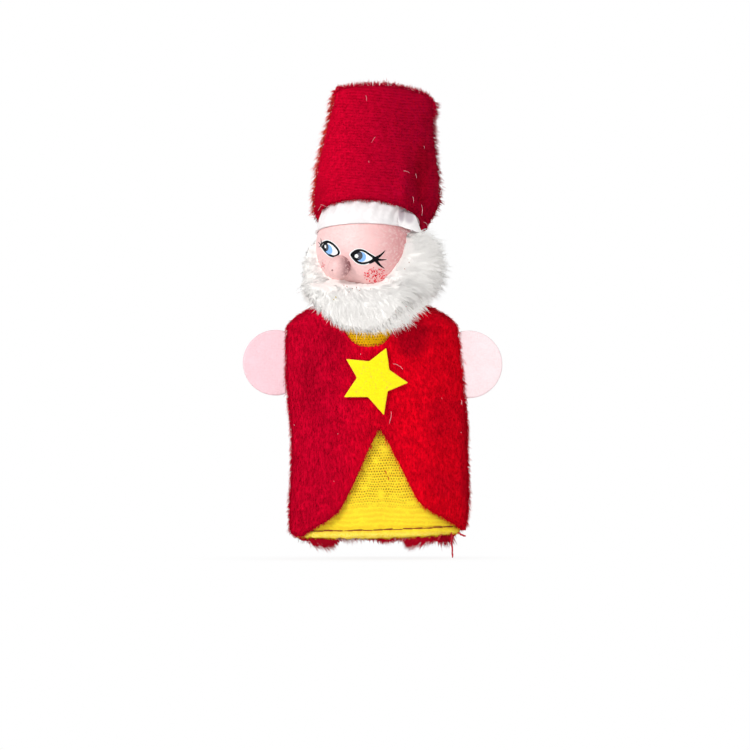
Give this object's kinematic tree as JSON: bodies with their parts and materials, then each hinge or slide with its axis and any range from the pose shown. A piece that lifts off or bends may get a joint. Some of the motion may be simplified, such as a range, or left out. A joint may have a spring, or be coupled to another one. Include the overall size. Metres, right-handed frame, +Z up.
{
  "type": "finger puppet",
  "caption": "Finger puppet with a round wooden head, white fur beard, tall red plush hat and a red and yellow cloth robe that holds a finger.",
  "frame": {"origin": "centre of the mouth of the finger bore, on the underside of the neck spigot", "axes": "+Z up towards the hat, -Y towards the front of the puppet, +X to the viewer's right"},
  "size_m": [0.076, 0.0368, 0.1338],
  "materials": {
    "painted_wood": "pink paint, satin",
    "nose_wood": "mauve pink paint, satin",
    "white_fur": "long-pile white faux fur",
    "white_cloth": "plain white cotton",
    "hat_plush": "short-pile crimson plush",
    "coat_plush": "short-pile red plush",
    "yellow_knit": "fine yellow knit",
    "yellow_felt": "yellow craft felt",
    "pink_felt": "pale pink craft felt",
    "red_thread": "red sewing thread",
    "brown_thread": "brown sewing thread",
    "yellow_thread": "yellow sewing thread",
    "white_thread": "undyed cotton thread"
  },
  "bodies": {
    "head": {"head_ball": "painted_wood", "nose": "nose_wood", "beard": "white_fur", "back_hair": "white_fur", "forehead_band": "white_cloth", "hat": "hat_plush", "hat_top_stitches": "red_thread"},
    "neck": {"tunic_neck": "yellow_knit", "neck_tie": "white_thread"},
    "gather": {"gathering_thread": "yellow_thread"},
    "robe": {"tunic_front": "yellow_knit", "tunic_back": "yellow_knit", "coat_front": "coat_plush", "coat_back": "coat_plush", "star": "yellow_felt", "hem_stitches_front": "brown_thread", "hem_stitches_back": "brown_thread", "side_seam_left": "red_thread", "side_seam_right": "red_thread"},
    "hand_left": {"hand_left": "pink_felt"},
    "hand_right": {"hand_right": "pink_felt"}
  },
  "joints": [
    {"name": "neck_turn", "type": "hinge", "parent": "head", "child": "neck", "pos_m": [0, 0, 0], "axis": [0, 0, 1], "range_deg": [-15, 15]},
    {"name": "neck_nod", "type": "hinge", "parent": "neck", "child": "gather", "pos_m": [0, 0, 0], "axis": [1, 0, 0], "range_deg": [-12, 12]},
    {"name": "neck_tilt", "type": "hinge", "parent": "gather", "child": "robe", "pos_m": [0, 0, 0], "axis": [0, 1, 0], "range_deg": [-10, 10]},
    {"name": "hand_left_flap", "type": "hinge", "parent": "robe", "child": "hand_left", "pos_m": [-0.02333, 0, -0.0159], "axis": [-0.0168, 0, 0.9999], "range_deg": [-50, 50]},
    {"name": "hand_right_flap", "type": "hinge", "parent": "robe", "child": "hand_right", "pos_m": [0.02935, 0, -0.0164], "axis": [-0.1095, 0, 0.994], "range_deg": [-50, 50]}
  ]
}
